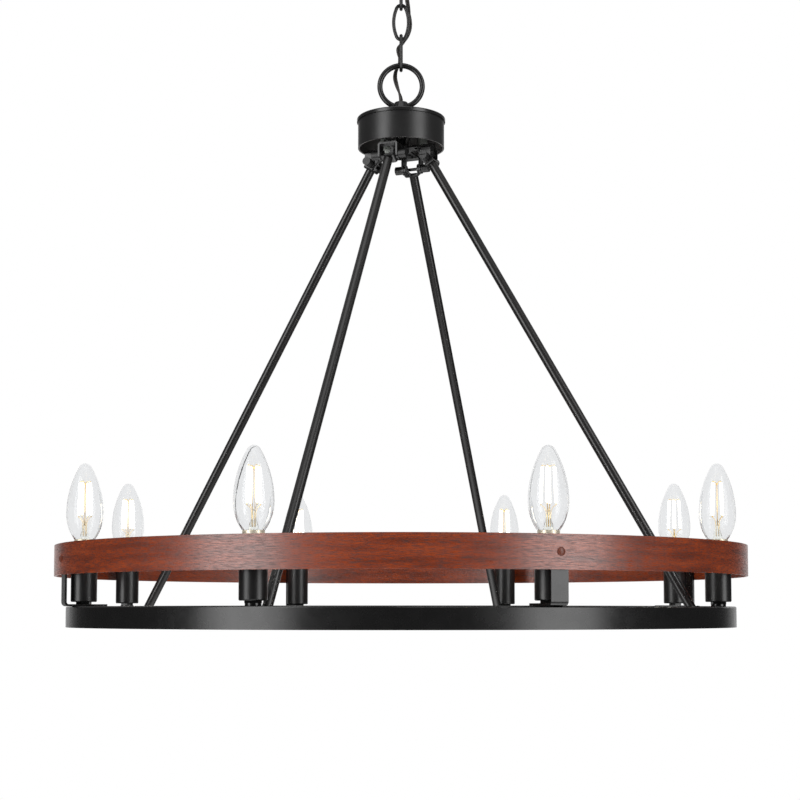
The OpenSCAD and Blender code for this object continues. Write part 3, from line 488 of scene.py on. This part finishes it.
def twisted_pieces():
    """Each stretch's centreline, its two strands and its length. The twist runs on through them all."""
    paths = [smooth_path(route, STEPS_BETWEEN_POINTS) for route in LEAD_ROUTES]
    whole = paths[0] + [p for path in paths[1:] for p in path[1:]]
    tangents, normals = frames_along(whole)
    run = [0.0]
    for a, b in zip(whole, whole[1:]):
        run.append(run[-1] + (b - a).length)
    offset = LEAD_D / 2 - JACKET_R
    strands = []
    for phase in (0, math.pi):
        strand = []
        for p, t, u, s in zip(whole, tangents, normals, run):
            v = t.cross(u)
            a = 2 * math.pi * s / TWIST_PITCH + phase
            strand.append(p + offset * (math.cos(a) * u + math.sin(a) * v))
        strands.append(strand)
    first = 0
    made = []
    for path in paths:
        last = first + len(path) - 1
        made.append((whole[first:last + 1], [s[first:last + 1] for s in strands], run[last] - run[first]))
        first = last
    return made


for number, (path, strands, length) in enumerate(twisted_pieces(), 1):
    points, faces = merge(*(tube(s, JACKET_R, JACKET_SIDES) for s in strands))
    piece = new_object(f"lead_{number}", mesh_of(f"lead_{number}", points, faces), LEAD)
    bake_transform(piece)
    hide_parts(f"cord_{number}")


# CAD nodes keep their shapes and get their materials
DRESS = {
    BLACK: ("canopy", "canopy_collar", "canopy_loop", "hub_loop", "hub_lid", "hub_spider",
            "hub_brackets", "rod_clevises", "ring_lugs", "lamp_ring", "ring_cover", "band_straps"),
    DRUM: ("hub_drum",),
    BLACK_ROD: ("rod_1", "rod_2", "rod_3", "rod_4"),
    BOLT_COAT: ("pivot_bolts", "pivot_nuts"),
    CUP_COAT: ("lamp_covers",),
    SCREW_PAINT: ("band_fasteners",),
    BLACK_HARDWARE: ("lamp_nuts", "hub_nipple", "hub_nuts"),
    CHAIN_BLACK: ("chain_link_1", "chain_link_2", "chain_link_3"),
    BRASS: ("crossbar_nipple", "crossbar_nuts", "lamp_nipples", "lamp_contacts"),
    ZINC: ("ceiling_crossbar",),
    GREEN: ("ground_screw",),
    WOOD: ("wood_band",),
    INSULATOR: ("lamp_holders",),
    CAP: ("splice_caps",),
    WIRE: ("wiring",),
    GLASS: tuple(f"bulb_{i}_glass" for i in range(1, 9)),
}
for material, names in DRESS.items():
    for name in names:
        mesh = NODES[name].data
        mesh.materials.clear()
        mesh.materials.append(material)


# Bulbs: cap, stem, support wires and filaments, each a piece of its own inside the CAD glass.
# Heights are from the bottom of the glass, in millimetres.
BULBS = 8
CAP_SIDES = 64
THREAD_TURNS = 5
THREAD_STEPS = 8
THREAD_PITCH = 2.54
THREAD_LOW = -25.2
THREAD_R = 5.62
THREAD_DEPTH = 0.24
CONTACT_PROFILE = [(0.4, -27.5), (2, -27.4), (3.2, -26.6), (3.4, -26.2), (4.6, -25.6), (5.2, -25.5)]
SKIRT_PROFILE = [(5.8, -11.9), (6.1, -11.5), (9.1, -6.8), (9.45, -6.4), (9.5, -6.0), (9.5, -0.5),
                 (9.35, 0.0), (9.15, 0.25), (8.9, 0.0), (8.7, -0.6), (0.5, -0.7)]
STEM_SIDES = 32
STEM_PROFILE = [(4.25, -0.5), (4.2, 3), (3.6, 5.5), (2.7, 8), (2.4, 11), (2.2, 14), (1.9, 16), (1.2, 17.2),
                (0.3, 17.6)]
FILAMENTS = 4
FILAMENT_SIDES = 16
FILAMENT_LOW = 22.6
FILAMENT_LENGTH = 31
FILAMENT_TOP = FILAMENT_LOW + FILAMENT_LENGTH
FILAMENT_R = 1.15
FILAMENT_TURN = 8.5
# Along a filament: the share of its length, and the share of its radius there
FILAMENT_TAPER = ((0, 0.35), (0.012, 0.75), (0.03, 0.94), (0.05, 1),
                  (0.95, 1), (0.97, 0.94), (0.988, 0.75), (1, 0.35))
# The filaments' lower and upper ends stand at these radii in the bulb
LOW_R = 6.4
HIGH_R = 5.2
WIRE_SIDES = 8
LEAD_IN_R = 0.22
SPIDER_R = 0.2
LOW_TIP_R = 0.42
HIGH_TIP_R = 0.4
POST_R = 0.2
POST_FOOT_AT = 1.2
POST_HEAD_AT = 0.8
POST_LOW = 13
POST_HIGH = FILAMENT_TOP - 1.6
# The bead that gathers the upper wires: radius, and depth below the filaments' tops
BEAD_PROFILE = ((0.2, 2.4), (0.9, 2.1), (1.1, 1.4), (0.8, 0.7), (0.2, 0.4))
BEAD_SIDES = 16


def bulb_places():
    for number in range(1, BULBS + 1):
        low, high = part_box(f"bulb_{number}_glass")
        yield number, Vector(((low[0] + high[0]) / 2, (low[1] + high[1]) / 2, low[2])) / MM


def cap_profile():
    """Screw base from the contact up to the rim round the glass, with a rolled thread."""
    thread = [(THREAD_R + THREAD_DEPTH * math.sin(2 * math.pi * i / THREAD_STEPS),
               THREAD_LOW + THREAD_PITCH * i / THREAD_STEPS)
              for i in range(THREAD_TURNS * THREAD_STEPS + 1)]
    return CONTACT_PROFILE + thread + SKIRT_PROFILE


def wire_between(a, b, radius):
    return tube([a, b], radius, WIRE_SIDES)


def filament_body(a, b):
    """A light filament: a round bar with tapered, rounded ends."""
    path = [a.lerp(b, t) for t, _ in FILAMENT_TAPER]
    radii = [share * FILAMENT_R for _, share in FILAMENT_TAPER]
    return tube(path, radii, FILAMENT_SIDES)


def placer(centre):
    """A function that gives the point at a radius, an angle and a height in the bulb at centre."""
    outward = math.atan2(centre.y, centre.x)

    def at(r, angle_deg, z):
        """Angle 0 points away from the fixture's axis."""
        a = outward + math.radians(angle_deg)
        return Vector((centre.x + r * math.cos(a), centre.y + r * math.sin(a), centre.z + z))

    return at


def filament_parts(at, angle):
    """One filament, and the wires and tips that hold it, at an angle round the bulb's own axis."""
    low, high = at(LOW_R, angle, FILAMENT_LOW), at(HIGH_R, angle, FILAMENT_TOP)
    lead_in = [at(1.5, angle, 3), at(1.7, angle, 12), at(2.3, angle, 16.5),
               at(LOW_R * 0.55, angle, FILAMENT_LOW - 3.4),
               at(LOW_R * 0.98, angle, FILAMENT_LOW - 1.2), low]
    spider = [high, at(HIGH_R * 0.92, angle, FILAMENT_TOP + 1.1),
              at(HIGH_R * 0.45, angle, FILAMENT_TOP + 0.6), at(0.5, angle, FILAMENT_TOP - 1.4)]
    wires = [tube(lead_in, LEAD_IN_R, WIRE_SIDES),
             wire_between(low - Vector((0, 0, 1.6)), low + Vector((0, 0, 0.8)), LOW_TIP_R),
             tube(spider, SPIDER_R, WIRE_SIDES),
             wire_between(high - Vector((0, 0, 0.8)), high + Vector((0, 0, 1.2)), HIGH_TIP_R)]
    return filament_body(low, high), wires


def bulb_piece(body, part, geometry, material):
    return new_object(f"{body}_{part}", mesh_of(part, *geometry), material, body)


def centre_posts(at):
    """Two wires from the stem up to the bead."""
    posts = []
    for angle in (-90, 90):
        foot, head = at(POST_FOOT_AT, angle, POST_LOW), at(POST_HEAD_AT, angle, POST_HIGH)
        posts.append(wire_between(foot, head, POST_R))
    return posts


def dress_bulb(body, centre):
    at = placer(centre)
    cap = bulb_piece(body, "cap", lathe(cap_profile(), CAP_SIDES, centre), PALE_GILT)
    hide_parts(f"{body}_base")
    stem = bulb_piece(body, "stem", lathe(STEM_PROFILE, STEM_SIDES, centre), STEM_GLASS)
    wires, lights = [], []
    for k in range(FILAMENTS):
        light, held_by = filament_parts(at, 360 / FILAMENTS * (k + 0.5) + FILAMENT_TURN)
        lights.append(light)
        wires += held_by
    bead = lathe([(r, FILAMENT_TOP - depth) for r, depth in BEAD_PROFILE], BEAD_SIDES, centre)
    supports = bulb_piece(body, "supports", merge(*wires, *centre_posts(at), bead), GOLD)
    filaments = bulb_piece(body, "filaments", merge(*lights), FILAMENT)


for number, centre in bulb_places():
    dress_bulb(f"bulb_{number}", centre)


# Stage: a pale floor far below, a room that is seen as white, and soft studio lights. Metres.
# The floor lights the part from a pool under it; what the camera sees of it is evenly pale.
FLOOR_Z = -2.4
FLOOR_R = 12.5
FLOOR_SIDES = 96
FLOOR_ROUGHNESS = 0.9
POOL_R = 1.1
POOL_STRENGTH = 3.0
SEEN_GLOW = 0.2
UNLIT_GLOW = 0.03
SEEN_TONE = 0.9
UNSEEN_TONE = 0.25


def rim_point(step):
    angle = 2 * math.pi * step / FLOOR_SIDES
    return FLOOR_R * math.cos(angle), FLOOR_R * math.sin(angle), FLOOR_Z


def floor_material():
    m = Mat("floor")
    r2 = m.radius_squared()
    fall = m.math("MULTIPLY", m.math("MULTIPLY", r2, r2), POOL_R ** -4)
    pool = m.math("POWER", m.math("ADD", fall, 1), -1)
    seen = m.seen_directly()
    glow = m.mix(seen, m.mix(pool, (UNLIT_GLOW,) * 3, (1, 1, 1)), (SEEN_GLOW,) * 3)
    m.link(glow, m.shader.inputs["Emission Color"])
    m.set(Emission_Strength=POOL_STRENGTH)
    return m.finish(m.mix(seen, (UNSEEN_TONE,) * 3, (SEEN_TONE,) * 3), FLOOR_ROUGHNESS)


floor = bpy.data.objects.new("floor", bpy.data.meshes.new("floor"))
floor.data.from_pydata([rim_point(k) for k in range(FLOOR_SIDES)], [], [tuple(range(FLOOR_SIDES))])
SCENE.collection.objects.link(floor)
floor.data.materials.append(floor_material())

# The room's light by direction: dark at eye level, lighter overhead, with a bright wall behind
ROOM_LOW = 0.03
ROOM_HIGH = 0.4
ROOM_RISE = (0.02, 0.7)
WALL_EDGE = (0.75, 0.98)

world = bpy.data.worlds.new("studio")
SCENE.world = world
world.use_nodes = True
room = Nodes(world.node_tree)
background = room.tree.nodes["Background"]
background.inputs["Color"].default_value = (1, 1, 1, 1)
direction = room.add("ShaderNodeSeparateXYZ")
room.link(room.add("ShaderNodeTexCoord").outputs["Generated"], direction.inputs["Vector"])
overhead = room.ease(direction.outputs["Z"], *ROOM_RISE, ROOM_LOW, ROOM_HIGH)
wall = room.ease(direction.outputs["Y"], *WALL_EDGE, 0, 1)
strength = room.math("MAXIMUM", room.seen_directly(), room.math("MAXIMUM", overhead, wall))
room.link(strength, background.inputs["Strength"])
SCENE.view_settings.view_transform = "Standard"

AIM_Z = -0.5
KEY = {"distance": 2.4, "height": -0.2, "size": (1.15, 3.0)}


def softbox(name, azimuth_deg, distance, height, size, power, diffuse_only=False):
    """A rectangular light that faces a point on the part's axis. Metres, degrees and watts."""
    light = bpy.data.lights.new(name, "AREA")
    light.shape = "RECTANGLE"
    light.size, light.size_y = size
    light.energy = power
    lamp = bpy.data.objects.new(name, light)
    a = math.radians(azimuth_deg)
    lamp.location = (distance * math.cos(a), distance * math.sin(a), height)
    lamp.rotation_mode = "QUATERNION"
    aim = Vector((0, 0, AIM_Z)) - lamp.location
    lamp.rotation_quaternion = aim.to_track_quat("-Z", "Y")
    SCENE.collection.objects.link(lamp)
    if diffuse_only:
        lamp.visible_camera = False
        lamp.visible_transmission = False
        lamp.visible_glossy = False


softbox("key_left", 222, power=45, **KEY)
softbox("key_right", 319, power=41, **KEY)
softbox("back_fill", 92, distance=3.2, height=0.4, size=(2.4, 1.8), power=22, diffuse_only=True)
softbox("top", 262, distance=0.8, height=1.7, size=(1.6, 1.6), power=10)
